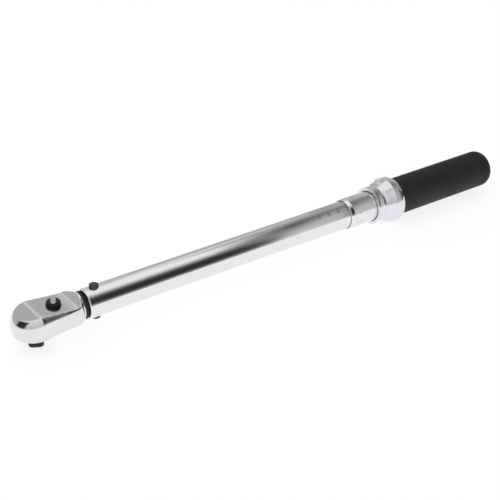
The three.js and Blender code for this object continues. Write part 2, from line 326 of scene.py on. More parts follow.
def plated(name, color, rough, grain=(1, 1, 1), peel=0.02, scratch=0.35, tint=None):
    """bright plating over turned or ground steel: faint orange peel, fine grain along the cut, a few wear marks"""
    m, nt, b = mat(name)
    b.inputs["Metallic"].default_value = 1.0
    v = coords(nt)
    vg = coords(nt, grain)
    big = noise(nt, v, 38, 2.0)
    fine = noise(nt, vg, 900, 4.0, 0.6)
    marks = noise(nt, coords(nt, (grain[0] * 0.6, grain[1] * 1.7, grain[2])), 2600, 2.0, 0.5)
    scr = rng(nt, marks, 0.66, 0.74, 0.0, 1.0)
    r0 = rng(nt, fine, 0.25, 0.75, rough * 0.75, rough * 1.35)
    r1 = N(nt, "ShaderNodeMath", operation="MULTIPLY_ADD")
    nt.links.new(scr, r1.inputs[0])
    r1.inputs[1].default_value = scratch * 0.18
    nt.links.new(r0, r1.inputs[2])
    nt.links.new(r1.outputs[0], b.inputs["Roughness"])
    dark = tuple(c * 0.93 for c in color) + (1,)
    c = mixc(nt, rng(nt, big, 0.35, 0.65, 0.0, 1.0), tuple(color) + (1,), tuple(tint or color) + (1,))
    c = mixc(nt, rng(nt, scr, 0, 1, 0, 0.35), c, dark)
    nt.links.new(c, b.inputs["Base Color"])
    h = N(nt, "ShaderNodeMath", operation="MULTIPLY_ADD")
    nt.links.new(big, h.inputs[0])
    h.inputs[1].default_value = 1.0
    nt.links.new(rng(nt, fine, 0, 1, 0, 0.12), h.inputs[2])
    add_bump(nt, b, h.outputs[0], peel, 0.0004)
    return m


def blackened(name, color=(0.022, 0.022, 0.024), rough=0.38, worn=0.5):
    """black-oxide steel: mottled, with bright wear on raised edges"""
    m, nt, b = mat(name)
    b.inputs["Metallic"].default_value = 0.85
    v = coords(nt)
    n1 = noise(nt, v, 420, 4.0)
    n2 = noise(nt, v, 2400, 3.0)
    geo = N(nt, "ShaderNodeNewGeometry")
    edge = rng(nt, geo.outputs["Pointiness"], 0.53, 0.60, 0.0, worn)
    br = N(nt, "ShaderNodeMath", operation="MULTIPLY")
    nt.links.new(edge, br.inputs[0])
    nt.links.new(rng(nt, n1, 0.42, 0.62, 0.1, 1.0), br.inputs[1])
    c = mixc(nt, rng(nt, n1, 0.35, 0.65, 0, 1), tuple(color) + (1,), tuple(min(1, x * 1.9) for x in color) + (1,))
    c = mixc(nt, br.outputs[0], c, (0.34, 0.33, 0.32, 1))
    nt.links.new(c, b.inputs["Base Color"])
    nt.links.new(rng(nt, n2, 0.3, 0.7, rough * 0.8, rough * 1.3), b.inputs["Roughness"])
    add_bump(nt, b, n2, 0.12, 0.0001)
    return m


def turned(name, color, rough, axis=(1, 40, 40)):
    """lathe-turned steel or brass: fine rings around the axis, oil-darkened patches"""
    m, nt, b = mat(name)
    b.inputs["Metallic"].default_value = 1.0
    rings = noise(nt, coords(nt, (6, 0.05, 0.05)), 700, 3.0, 0.6)
    patch = noise(nt, coords(nt), 160, 3.0)
    c = mixc(nt, rng(nt, patch, 0.3, 0.7, 0, 1), tuple(color) + (1,), tuple(x * 0.72 for x in color) + (1,))
    nt.links.new(c, b.inputs["Base Color"])
    nt.links.new(rng(nt, rings, 0.3, 0.7, rough * 0.7, rough * 1.4), b.inputs["Roughness"])
    add_bump(nt, b, rings, 0.18, 0.00008)
    return m


def wire(name, color=(0.16, 0.15, 0.145)):
    """oil-tempered spring wire: dark, drawn grain, faint straw tint"""
    m, nt, b = mat(name)
    b.inputs["Metallic"].default_value = 0.95
    n1 = noise(nt, coords(nt), 300, 3.0)
    n2 = noise(nt, coords(nt, (1, 1, 1)), 2200, 3.0)
    c = mixc(nt, rng(nt, n1, 0.3, 0.7, 0, 1), tuple(color) + (1,), (0.30, 0.26, 0.20, 1))
    nt.links.new(c, b.inputs["Base Color"])
    nt.links.new(rng(nt, n2, 0.3, 0.7, 0.28, 0.5), b.inputs["Roughness"])
    add_bump(nt, b, n2, 0.1, 0.00006)
    return m


def rubber(name, color=(0.012, 0.012, 0.013)):
    m, nt, b = mat(name)
    n1 = noise(nt, coords(nt), 500, 4.0)
    n2 = noise(nt, coords(nt), 3500, 3.0)
    c = mixc(nt, rng(nt, n1, 0.35, 0.7, 0, 1), tuple(color) + (1,), tuple(x * 1.9 for x in color) + (1,))
    nt.links.new(c, b.inputs["Base Color"])
    nt.links.new(rng(nt, n2, 0.3, 0.7, 0.5, 0.72), b.inputs["Roughness"])
    b.inputs["Specular IOR Level"].default_value = 0.35
    add_bump(nt, b, n2, 0.2, 0.00008)
    return m


def moulded(name, color=(0.0165, 0.0165, 0.018), rough=0.58, scale=2300, bump=0.4):
    """black moulded plastic: fine spark-eroded leather-like texture, slight handling polish"""
    m, nt, b = mat(name)
    v = coords(nt)
    vor = N(nt, "ShaderNodeTexVoronoi")
    vor.feature = "SMOOTH_F1"
    vor.inputs["Scale"].default_value = scale
    vor.inputs["Smoothness"].default_value = 0.6
    nt.links.new(v, vor.inputs["Vector"])
    n1 = noise(nt, v, 60, 3.0)
    n2 = noise(nt, v, 1500, 4.0)
    c = mixc(nt, rng(nt, n1, 0.35, 0.65, 0, 1), tuple(color) + (1,), tuple(x * 1.35 for x in color) + (1,))
    c = mixc(nt, rng(nt, vor.outputs["Distance"], 0.0, 0.7, 0.0, 0.5), c, tuple(x * 1.8 for x in color) + (1,))
    nt.links.new(c, b.inputs["Base Color"])
    r = N(nt, "ShaderNodeMath", operation="MULTIPLY_ADD")
    nt.links.new(n1, r.inputs[0])
    r.inputs[1].default_value = 0.16
    nt.links.new(rng(nt, n2, 0.3, 0.7, rough * 0.82, rough * 1.08), r.inputs[2])
    nt.links.new(r.outputs[0], b.inputs["Roughness"])
    b.inputs["Specular IOR Level"].default_value = 0.25
    add_bump(nt, b, vor.outputs["Distance"], bump, 0.00005)
    return m


CHROME = plated("chrome_tube", (0.80, 0.805, 0.815), 0.075, grain=(0.08, 1, 1), peel=0.015)
CHROME_HEAD = plated("chrome_head", (0.79, 0.79, 0.80), 0.11, grain=(0.5, 1, 1), peel=0.05, tint=(0.76, 0.765, 0.78))
CHROME_RING = plated("chrome_ring", (0.77, 0.785, 0.81), 0.09, grain=(1, 0.2, 0.2), peel=0.02)
# satin grey for the lever's thumb tab: lighter than the black disc round it, as a painted highlight on its top
SATIN_PAINTED_HIGHLIGHT = plated("lever_chrome_painted_highlight", (0.56, 0.56, 0.57), 0.26, grain=(1, 1, 1), peel=0.05)
BLACK_STEEL = blackened("black_oxide")
BLACK_PIN = blackened("black_pin", (0.06, 0.06, 0.063), 0.42, 0.2)
PLAIN = turned("turned_steel", (0.50, 0.50, 0.51), 0.26)
BRASS = turned("turned_brass", (0.62, 0.44, 0.18), 0.24)
WIRE = wire("spring_wire")
RUBBER = rubber("black_rubber")
PLASTIC = moulded("grip_plastic")
PLASTIC_CAP = moulded("cap_plastic", (0.0095, 0.0095, 0.011), 0.44, 2600, 0.3)
m_, nt_, b_ = mat("engraving_paint")
n_ = noise(nt_, coords(nt_), 900, 3.0)
nt_.links.new(mixc(nt_, rng(nt_, n_, 0.3, 0.7, 0, 1), (0.02, 0.02, 0.022, 1), (0.06, 0.06, 0.062, 1)), b_.inputs["Base Color"])
b_.inputs["Roughness"].default_value = 0.55
INK = m_

SLOT_MATS = {"chrome": CHROME, "lever_steel": SATIN_PAINTED_HIGHLIGHT, "black_steel": BLACK_STEEL, "plain_steel": PLAIN,
             "spring_steel": WIRE, "brass": BRASS, "black_rubber": RUBBER, "black_plastic": PLASTIC}
for sub in frame["record"]["subparts"]:
    ob = frame["nodes"][sub["node"]]
    ob.data.materials.clear()
    ob.data.materials.append(SLOT_MATS[sub["material_slot"]])


# ---------------------------------------------------------------- head
import numpy as np

HEAD_R, NECK_HALF, TOP, BOT = 14.7, 11.7, 8.45, -8.0
NECK_X = 29.5
COLLAR_R, COLLAR_X = 9.6, 30.3
# slope of the neck sides: R - x*s = half*c
_t = 0.15
for _ in range(50):
    _t = math.asin((HEAD_R - NECK_HALF * math.cos(_t)) / NECK_X)
TS, TC = math.sin(_t), math.cos(_t)


def smax(a, b, k):
    h = np.clip(0.5 - 0.5 * (b - a) / k, 0, 1)
    return b * (1 - h) + a * h + k * h * (1 - h)


def smin(a, b, k):
    return -smax(-a, -b, k)


FACET = math.radians(8)
ARC = math.radians(50)


def edge_round(a, b, r):
    """the larger of two distances, with a rounded edge where they meet"""
    a, b = a + r, b + r
    return np.minimum(np.maximum(a, b), 0) + np.sqrt(np.maximum(a, 0) ** 2 + np.maximum(b, 0) ** 2) - r


def head_sdf(x, y, z):
    ay = np.abs(y)
    # plan outline: round end with straight tapering sides
    rad = np.sqrt(x * x + y * y)
    side = x * TS + ay * TC - HEAD_R
    plan = np.where(x * TC - ay * TS > 0, side, rad - HEAD_R)
    plan = np.maximum(plan, x - NECK_X)
    # two shallow facets fall away from a straight crease, one to the tip and one to the neck, where it levels out
    tip = (z - TOP) * math.cos(FACET) - (x + 0.4) * math.sin(FACET)
    line = smax(TOP - (x + 0.4) * 0.105, np.full_like(x, 6.35), 0.5)
    line = smax(line, 6.35 + (x - 25.4) * 0.56, 0.5)
    top = smax((z - line) * 0.995, tip, 0.36)
    # the side bulges into the top in a wide arc that stops 40 degrees short of flat, where a tight edge begins
    rt = np.interp(x, [-14, -2, 3, 11, 17, 23, 27], [8.4, 8.6, 7.4, 5.4, 4.0, 2.6, 2.0])
    rb = np.interp(x, [0, 10], [4.0, 5.5])
    d = smax(edge_round(plan, top - rt * (1 - math.sin(ARC)), rt), top, 0.12)
    d = np.maximum(d, edge_round(plan, BOT - z, rb))
    # the neck turns round towards the collar
    rr = np.sqrt(y * y + z * z)
    rc = 9.6 + np.maximum(0, 29.6 - x) * 1.1
    d = smax(d, rr - rc, 1.0)
    # round collar that the neck runs into
    c = edge_round(rr - COLLAR_R, 28.9 - x, 0.5)
    return smin(d, c, 0.8)


def shoot(ox, dx, dy, dz):
    lo = np.zeros_like(dx)
    hi = np.full_like(dx, 20.0)
    for _ in range(44):
        m = (lo + hi) / 2
        inside = head_sdf(ox + dx * m, dy * m, dz * m) < 0
        lo = np.where(inside, m, lo)
        hi = np.where(inside, hi, m)
    m = (lo + hi) / 2
    return np.stack([ox + dx * m, dy * m, dz * m], -1)


def head_mesh():
    seg, fan = 208, 44
    th = np.arange(seg) * 2 * math.pi / seg
    # denser where the edges of the section are
    rings = []
    for i in range(1, fan):
        ph = math.pi / 2 * (1 - i / fan)
        o = np.zeros(seg)
        rings.append(shoot(o, np.full(seg, -math.sin(ph)), np.cos(th) * math.cos(ph), np.sin(th) * math.cos(ph)))
    xs = list(np.linspace(0, 27.5, 58)) + list(np.linspace(27.9, 29.7, 8))
    for x in xs:
        rings.append(shoot(np.full(seg, x), np.zeros(seg), np.cos(th), np.sin(th)))
    prof = fillet([(29.85, COLLAR_R), (COLLAR_X, COLLAR_R, 0.3), (COLLAR_X, 7.6, 0.3), (51.7, 7.6), (52, 7.3), (52, 4.6)], 4)
    for a, r in prof:
        rings.append(np.stack([np.full(seg, a), np.cos(th) * r, np.sin(th) * r], -1))
    verts = [(-HEAD_R, 0.0, 0.0)]
    tip = shoot(np.zeros(1), np.array([-1.0]), np.zeros(1), np.zeros(1))[0]
    verts[0] = tuple(tip)
    faces = []
    for r in rings:
        verts += [tuple(p) for p in r]
    for k in range(seg):
        faces.append((0, 1 + (k + 1) % seg, 1 + k))
    for i in range(len(rings) - 1):
        for k in range(seg):
            a = 1 + i * seg
            b = a + seg
            faces.append((a + k, a + (k + 1) % seg, b + (k + 1) % seg, b + k))
    last = 1 + (len(rings) - 1) * seg
    faces.append(tuple(last + k for k in range(seg)))
    return verts, faces


LX, LR = 13.5, 4.6           # reversing lever centre and radius
head = make("head_shell", *head_mesh(), CHROME_HEAD, "head", smooth=30, replaces=("head_body",), slot="chrome")
arm = cutter(*prism([(50, -5.6), (80, -4.2), (80, 4.2), (50, 5.6)], -5, 5))
boolean(head, [arm], "UNION")
cuts = []
# bore of the gear with a chamfered mouth and the groove of the circlip
prof = [(-9.0, 0), (-9.0, 11.7), (-8.05, 11.3), (-7.6, 10.8), (-7.3, 10.8), (-7.3, 11.5), (-6.3, 11.5), (-6.3, 10.8), (5, 10.8), (5, 0)]
cuts.append(cutter(*lathe_data(prof, 96, "Z")))
cuts.append(cutter(*prism([(8, -6.4), (11.6, -6.4), (14.4, -4.4), (16.55, -1.5), (16.55, 1.5), (14.4, 4.4), (11.6, 6.4), (8, 6.4)], -5, 4.6)))
# lever recess with a rounded rim, stem hole, detent hole, pin hole
cuts.append(cutter(*lathe_data(fillet([(5.9, 0), (5.9, LR + 0.25, 0.2), (10.0, LR + 0.25), (10.0, 0)], 4), 96, "Z", (LX, 0))))
cuts.append(cutter(*lathe_data([(4, 0), (4, 1.85), (7, 1.85), (7, 0)], 32, "Z", (LX, 0))))
cuts.append(cutter(*lathe_data([(2.6, 0), (2.6, 0.62), (6.4, 0.62), (6.4, 0)], 20, "Z", (17.5, 0))))
cuts.append(cutter(*lathe_data([(-9, 0), (-9, 3.3), (9, 3.3), (9, 0)], 48, "Z", (41.4, 0))))
for c_ in cuts:
    boolean(head, [c_])
shade(head, 30)

lathe("neck_seal", fillet([(30.5, 7.9), (30.5, 9.15, 0.8), (32.8, 9.15, 0.8), (32.8, 7.9), (30.5, 7.9)], 8), 128, RUBBER, "head",
      replaces=("neck_ring",), slot="black_rubber")
lathe("gear_washer_fine", fillet([(-6.2, 7.0), (-6.2, 10.5, 0.25), (-5.4, 10.5, 0.25), (-5.4, 7.0, 0.2), (-6.2, 7.0)], 3), 96, PLAIN, "head", "Z",
      replaces=("gear_washer",), slot="plain_steel")


def circlip():
    """external-lugged ring: two eyelets at the gap"""
    a0, a1, n = 204.0, 516.0, 120
    outer, inner = [], []
    for i in range(n + 1):
        t = i / n
        a = math.radians(a0 + (a1 - a0) * t)
        w = 1.0 + 0.0 * t
        thick = 1.35 if 3 < i < n - 3 else 1.9
        outer.append((11.3 * math.cos(a), 11.3 * math.sin(a)))
        inner.append(((11.3 - thick) * math.cos(a), (11.3 - thick) * math.sin(a)))
    return outer + inner[::-1]


v_, f_ = prism(circlip(), -7.15, -6.45)
clip = make("gear_circlip_fine", v_, f_, BLACK_STEEL, "head", smooth=30, replaces=("gear_circlip",), slot="black_steel")
eye = []
for a_ in (206.5, 513.5):
    a_ = math.radians(a_)
    eye.append(cutter(*lathe_data([(-9, 0), (-9, 0.45), (-6.5, 0.45), (-6.5, 0)], 16, "Z", (10.35 * math.cos(a_), 10.35 * math.sin(a_)))))
for c_ in eye:
    boolean(clip, [c_])
shade(clip, 30)

# ---------------------------------------------------------------- square drive with its gear
SQ = 9.53 / 2


def square_ring(h, r, z, n=7):
    pts = []
    for q in range(4):
        a0 = q * math.pi / 2
        cx, cy = (h - r) * (1 if q in (0, 3) else -1), (h - r) * (1 if q in (0, 1) else -1)
        for k in range(n + 1):
            w = a0 + math.pi / 2 * k / n
            pts.append((cx + r * math.cos(w), cy + r * math.sin(w), z))
    return pts


def loft(rings, cap=True):
    n = len(rings[0])
    v, f = [], []
    for r in rings:
        v += r
    for i in range(len(rings) - 1):
        for k in range(n):
            f.append((i * n + k, i * n + (k + 1) % n, (i + 1) * n + (k + 1) % n, (i + 1) * n + k))
    f.append(tuple(range(n - 1, -1, -1)))
    f.append(tuple((len(rings) - 1) * n + k for k in range(n)))
    return v, f


DRIVE_TURN = math.radians(-28)


def turned_z(pts, dz=0.0):
    c, s = math.cos(DRIVE_TURN), math.sin(DRIVE_TURN)
    return [(x * c - y * s, x * s + y * c, z + dz) for x, y, z in pts]


rings_ = []
TIP = 2.4                                       # rounding of the end of the square
for w_ in (0, 15, 30, 45, 60, 75, 90):
    a_ = math.radians(w_)
    rings_.append(square_ring(SQ - TIP * (1 - math.sin(a_)), 1.9 - 0.2 * (1 - math.sin(a_)), -AXZ + TIP * (1 - math.cos(a_))))
for z_ in (-14, -12, -9.4):
    rings_.append(square_ring(SQ, 1.9, z_))
rings_.append(square_ring(SQ, 1.9, -6.5))
rings_ = [turned_z(r_) for r_ in rings_]
gear_pts = []
for i_ in range(32):
    for f__, r__ in ((0.0, 9.5), (0.06, 9.5), (0.34, 10.15), (0.40, 10.2), (0.52, 10.2), (0.58, 10.15), (0.86, 9.5)):
        a_ = 2 * math.pi * (i_ + f__) / 32
        gear_pts.append((r__ * math.cos(a_), r__ * math.sin(a_)))
gv, gf = prism(gear_pts, -5.2, 4.6)
gv = turned_z(gv)
drive = make("gear_and_square_drive", *loft(rings_), BLACK_STEEL, "drive", smooth=32, replaces=("gear_drive",), slot="black_steel")
hub = cutter(*lathe_data(fillet([(-7.9, 0), (-7.9, 6.6, 0.35), (-5.0, 6.6), (-5.0, 0)], 4), 96, "Z"))
boolean(drive, [hub], "UNION")
boolean(drive, [cutter(gv, gf)], "UNION")
hole = lathe_data([(-6, 0), (-6, 2.3), (-4.5, 1.75), (3.2, 1.75), (3.2, 0)], 48, "X")
boolean(drive, [cutter(turned_z(hole[0], -12.2), hole[1])])
shade(drive, 32)


def sphere(name, r, c, mat_, body, rep, seg=32, rng_=18):
    prof_ = [(-r * math.cos(math.pi * i / rng_), r * math.sin(math.pi * i / rng_)) for i in range(rng_ + 1)]
    prof_[0] = (-r, 0)
    prof_[-1] = (r, 0)
    v, f = lathe_data(prof_, seg, "X")
    return make(name, [(x + c[0], y + c[1], z + c[2]) for x, y, z in v], f, mat_, body, replaces=(rep,), slot="plain_steel")


sphere("socket_ball", 1.5, turned_z([(-4.1, 0, -12.2)])[0], PLAIN, "drive_ball", "drive_ball")
hv, hf = helix(-2.3, 2.8, 1.05, 0.22, 5, 24, 8)
spring_ = make("socket_ball_spring", turned_z(hv, -12.2), hf, WIRE, "drive", replaces=("drive_ball_spring",), slot="spring_steel")
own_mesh(spring_)

# ---------------------------------------------------------------- reversing lever
LEVER_DEG = 64
# the lever disc takes the black-oxide finish partly as painted shade: the dark ring round the thumb tab stands for
# shade in the recess
disc = fillet([(-4.7, 0), (-4.7, 1.5, 0.3), (6.15, 1.5), (6.15, LR, 0.2), (8.7, LR, 0.8), (9.8, LR - 0.5, 0.8), (10.15, LR - 1.4, 0.8), (10.15, 0)], 6)
lever = lathe("reverse_lever", disc, 96, BLACK_STEEL, "lever", "Z", (LX, 0), 30, ("reversing_lever",), "lever_steel")


def thumb():
    """raised thumb tab from the middle of the disc to its rim, with rounded ends and edges"""
    rings = []
    for i in range(17):
        t = i / 16
        x = -3.6 + 8.1 * t
        e = min(1.0, math.sqrt(max(0.0, 1 - max(0.0, (abs(t - 0.5) - 0.4) / 0.1) ** 2)))
        k = max(0.15, e)
        hw = (1.6 + 0.08 * t) * k
        base, top = 9.2, 10.15 + 0.42 * max(0.45, k)
        zc, hz = (top + base) / 2, (top - base) / 2
        ring = []
        for q in range(28):
            w = 2 * math.pi * q / 28
            c, s = math.cos(w), math.sin(w)
            ring.append((x, hw * math.copysign(abs(c) ** 0.5, c), zc + hz * math.copysign(abs(s) ** 0.5, s)))
        rings.append(ring)
    return loft(rings)


tv, tf = thumb()
c_, s_ = math.cos(math.radians(LEVER_DEG)), math.sin(math.radians(LEVER_DEG))
tv = [(LX + x * c_ - y * s_, x * s_ + y * c_, z) for x, y, z in tv]
# the tab is light grey satin against the black disc, a painted highlight on the lever's top
tab = cutter(tv, tf)
tab.data.materials.append(SATIN_PAINTED_HIGHLIGHT)
lever.data.materials.append(SATIN_PAINTED_HIGHLIGHT)
boolean(lever, [tab], "UNION")
shade(lever, 32)

# ---------------------------------------------------------------- tube, pivot pin and bush
TR, TIR = 10.0, 8.4


def stations(a, b, n):
    return [a + (b - a) * i / n for i in range(1, n)]


tube_prof = fillet([(33.5, TIR, 0.2), (322, TIR, 0.2), (322, TR, 0.5), (33.5, TR, 1.3), (33.5, TIR)], 7, closed=False)
tube_prof[0] = (33.7, TIR)
tube_prof[-1] = (33.5, TIR + 0.2)
tube_prof.append(tube_prof[0])
tube = lathe("tube_shell", tube_prof, 160, CHROME, "tube", replaces=("tube",), slot="chrome", smooth=30)
for z0_, z1_ in ((6.5, 12), (-12, -6.5)):
    s_ = 1 if z0_ > 0 else -1
    boolean(tube, [cutter(*lathe_data([(z0_, 0), (z0_, 3.1), (z1_, 3.1), (z1_, 0)], 48, "Z", (41.4, 0)))])
    boolean(tube, [cutter(*lathe_data([(z0_, 0), (z0_, 1.7), (z1_, 1.7), (z1_, 0)], 32, "Z", (305, 0)))])
shade(tube, 30)

PH, PR = 12.2, 3.0
pin_prof = fillet([(-PH + 0.35, 0), (-PH + 0.35, 0.9, 0.2), (-PH, 1.5, 0.3), (-PH, 2.2, 0.3), (-PH + 0.6, PR, 0.3), (PH - 0.6, PR, 0.3), (PH, 2.2, 0.3), (PH, 1.5, 0.3), (PH - 0.35, 0.9, 0.2), (PH - 0.35, 0)], 4)
lathe("pivot_pin_fine", pin_prof, 64, BLACK_PIN, "tube", "Z", (41.4, 0), 40, ("pivot_pin",), "black_steel")

nut = lathe("thread_bush_fine", fillet([(296, 6.0, 0.4), (314, 6.0, 0.4), (314, 8.1, 0.3), (296, 8.1, 0.3), (296, 6.0)], 3), 96, BRASS, "tube", replaces=("thread_bush",), slot="brass")
for z0_, z1_ in ((5.5, 9), (-9, -5.5)):
    boolean(nut, [cutter(*lathe_data([(z0_, 0), (z0_, 1.7), (z1_, 1.7), (z1_, 0)], 32, "Z", (305, 0)))])
shade(nut, 30)
for nm_, z0_, z1_ in (("bush_pin_top", 6.3, 9.8), ("bush_pin_bottom", -9.8, -6.3)):
    lathe(nm_ + "_fine", fillet([(z0_, 0), (z0_, 1.4, 0.25), (z1_, 1.4, 0.25), (z1_, 0)], 3), 32, PLAIN, "tube", "Z", (305, 0), replaces=(nm_,), slot="plain_steel")

# ---------------------------------------------------------------- click mechanism
bl = fillet([(80.35, -1.7, 0.3), (81.6, -3.4, 0.5), (86.1, -3.4, 0.5), (87.35, -1.7, 0.3), (87.35, 1.7, 0.3), (86.1, 3.4, 0.5), (81.6, 3.4, 0.5), (80.35, 1.7, 0.3)], 4, closed=True)
v_, f_ = prism(bl, -3.45, 3.45)
make("tilt_block_fine", v_, f_, PLAIN, "tilt_block", replaces=("tilt_block",), slot="plain_steel")
lathe("plunger_fine", fillet([(88, 0), (88, 7.2, 0.3), (88.8, 8.1, 0.3), (92, 8.1), (92.3, 7.8, 0.1), (93.2, 7.8, 0.1), (93.5, 8.1), (98, 8.1), (98.3, 7.8, 0.1), (99.2, 7.8, 0.1), (99.5, 8.1), (103.4, 8.1, 0.3), (104, 7.5, 0.2), (104, 4.5, 0.3), (115.3, 4.5, 0.4), (116, 3.8, 0.3), (116, 0)], 3), 96, PLAIN, "plunger", replaces=("plunger",), slot="plain_steel")
v_, f_ = helix(104.2, 250.7, 6.25, 1.28, 13, 30, 12)
spring_ = make("main_spring_fine", v_, f_, WIRE, "plunger", replaces=("main_spring",), slot="spring_steel")
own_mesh(spring_)
lathe("spring_seat_fine", fillet([(244, 0), (244, 4, 0.4), (244.6, 4.5, 0.3), (252.3, 4.5, 0.3), (252.3, 8.1, 0.3), (262, 8.1, 0.3), (262, 3.4, 0.3), (260.2, 0)], 3), 96, PLAIN, "carriage", replaces=("spring_seat",), slot="plain_steel")
sphere("thrust_ball_fine", 2.48, (264.3, 0, 0), PLAIN, "carriage", "thrust_ball")

# ---------------------------------------------------------------- adjusting screw with a real helical thread form
def threaded(x0, x1, r_major, depth, pitch, seg=40):
    """outer skin of a threaded rod: the radius follows a 60 degree thread whose phase turns with the angle"""
    per = 8
    n = int(round((x1 - x0) / pitch * per))
    rings = []
    for i in range(n + 1):
        x = x0 + (x1 - x0) * i / n
        ring = []
        for k in range(seg):
            w = 2 * math.pi * k / seg
            ph = ((x - x0) / pitch - k / seg) % 1.0
            tri = abs(ph - 0.5) * 2                      # 1 at the root ends, 0 in the middle
            d = min(1.0, max(0.0, (tri - 0.12) / 0.76))
            edge = min(1.0, (x - x0) / 0.8, (x1 - x) / 0.8)
            r = r_major - depth * (d if edge >= 1 else max(d, 1 - max(0.0, edge)))
            ring.append((x, r * math.cos(w), r * math.sin(w)))
        rings.append(ring)
    return rings


def ring_at(x, r, seg=40):
    return [(x, r * math.cos(2 * math.pi * k / seg), r * math.sin(2 * math.pi * k / seg)) for k in range(seg)]


rr_ = [ring_at(267.1, 2.6), ring_at(267.1, 3.4), ring_at(267.9, 4.4), ring_at(275.9, 4.5), ring_at(276.1, 4.55)]
rr_ += threaded(276.3, 349.6, 5.68, 1.1, 2.0)
rr_ += [ring_at(349.9, 5.3), ring_at(350.0, 4.0)]
rr_ += threaded(350.2, 366.9, 4.0, 0.55, 1.25)
rr_ += [ring_at(367.3, 3.2)]
make("adjusting_screw_fine", *loft(rr_), PLAIN, "handle", smooth=50, replaces=("adjusting_screw",), slot="plain_steel")

plug = lathe("handle_plug_fine", fillet([(350.5, 4.3, 0.3), (360, 4.3, 0.3), (360, 10.0, 0.4), (350.5, 10.0, 0.4), (350.5, 4.3)], 3), 96, PLAIN, "handle", replaces=("handle_plug",), slot="plain_steel")
for z0_, z1_ in ((3.0, 12), (-12, -3.0)):
    boolean(plug, [cutter(*lathe_data([(z0_, 0), (z0_, 2.1), (z1_, 2.1), (z1_, 0)], 32, "Z", (355, 0)))])
shade(plug, 30)
for nm_, sg_ in (("plug_screw_top", 1), ("plug_screw_bottom", -1)):
    sc_ = lathe(nm_ + "_fine", fillet([(6.0 * sg_, 0), (6.0 * sg_, 1.3, 0.1), (6.5 * sg_, 1.8, 0.1), (10.6 * sg_, 1.8, 0.15), (10.9 * sg_, 1.5, 0.1), (10.9 * sg_, 0)], 3), 40, BLACK_STEEL, "handle", "Z", (355, 0), replaces=(nm_,), slot="black_steel")
    hx_ = [(355 + 1.0 * math.cos(math.pi / 3 * k), 1.0 * math.sin(math.pi / 3 * k)) for k in range(6)]
    boolean(sc_, [cutter(*prism(hx_, min(9.2 * sg_, 12 * sg_), max(9.2 * sg_, 12 * sg_)))])
    shade(sc_, 30)
lathe("screw_washer_fine", fillet([(360.3, 4.3, 0.15), (361.5, 4.3, 0.15), (361.5, 8.0, 0.3), (360.3, 8.0, 0.3), (360.3, 4.3)], 3), 72, PLAIN, "handle", replaces=("screw_washer",), slot="plain_steel")


def hex_nut(x0, x1, r, bore):
    """hexagonal prism along the axis; its corners are turned off on both faces and its chamfered bore is cut after it
    is made
    """
    hexa = [(r * math.cos(math.pi / 3 * k), r * math.sin(math.pi / 3 * k)) for k in range(6)]
    v, f = prism(hexa, x0, x1)
    v = [(z, x, y) for x, y, z in v]
    return v, f


nutv, nutf = hex_nut(361.8, 366.8, 7.2, 4.3)
lnut = make("lock_nut_fine", nutv, nutf, PLAIN, "handle", replaces=("lock_nut",), slot="plain_steel")
boolean(lnut, [cutter(*lathe_data([(361.0, 0), (361.0, 5.0), (361.8, 5.0), (362.5, 4.3), (366.1, 4.3), (366.8, 5.0), (367.5, 5.0), (367.5, 0)], 64, "X"))])
boolean(lnut, [cutter(*lathe_data([(361.5, 0), (361.5, 6.2), (361.8, 6.2), (362.5, 7.3), (366.1, 7.3), (366.8, 6.2), (367.1, 6.2), (367.1, 0)], 64, "X"))], "INTERSECT")
shade(lnut, 30)

# ---------------------------------------------------------------- thimble
TH0, TH1, THR, THIR = 240.0, 361.0, 11.0, 10.3
th_prof = fillet([(TH0 + 0.1, THIR), (TH1, THIR, 0.2), (TH1, THR, 0.3), (262.0, THR), (TH0 + 3.2, THR, 1.2), (TH0 + 0.5, THIR + 0.35, 0.3), (TH0, THIR + 0.12, 0.05), (TH0 + 0.1, THIR)], 5)
thimble = lathe("thimble_sleeve", th_prof, 160, CHROME, "handle", replaces=("thimble",), slot="chrome", smooth=30)
for i_ in range(3):
    a_ = math.radians(120 * i_)
    hv_, hf_ = lathe_data([(8, 0), (8, 1.45), (13, 1.45), (13, 0)], 32, "Z", (277.5, 0))
    hv_ = [(x, y * math.cos(a_) - z * math.sin(a_), y * math.sin(a_) + z * math.cos(a_)) for x, y, z in hv_]
    boolean(thimble, [cutter(hv_, hf_)])
for z0_, z1_ in ((9.5, 13), (-13, -9.5)):
    boolean(thimble, [cutter(*lathe_data([(z0_, 0), (z0_, 2.1), (z1_, 2.1), (z1_, 0)], 32, "Z", (355, 0)))])
shade(thimble, 30)

# ---------------------------------------------------------------- lock ring, its spring, stop ring and balls
GR = 13.4
ring_prof = fillet([
    (263.5, 11.5), (263.65, 11.35), (272.0, 11.35), (272.5, 13.3, 0.2), (275.4, 13.3, 0.2), (276.2, 12.8, 0.2), (280, 12.8, 0.2), (280, 11.35, 0.15),
    (281.2, 11.35, 0.15), (281.2, GR + 0.35, 0.2), (285.8, GR + 0.35, 0.1), (285.8, 15.3, 0.3), (285.1, 16.0, 0.6), (283.3, 16.55, 1.6),
    (278.7, 16.55, 1.8), (275.6, 15.2, 2.5), (272.4, 14.35, 1.6), (270.8, 13.35, 0.6), (270.0, 13.15, 0.5), (269.1, 13.45, 0.5),
    (263.5, 13.45, 0.45), (263.5, 11.5)], 6)
ring = lathe("pull_down_ring", ring_prof, 176, CHROME_RING, "lock_ring", replaces=("lock_ring",), slot="chrome", smooth=30)
lathe("lock_stop_ring_fine", fillet([(279.1, 11.2, 0.1), (279.7, 11.2, 0.1), (279.7, 12.2, 0.2), (279.1, 12.2, 0.2), (279.1, 11.2)], 3), 96, WIRE, "handle", replaces=("lock_stop_ring",), slot="spring_steel")
v_, f_ = helix(281.6, 294.6, 11.82, 0.36, 4, 60, 8, 0.5)
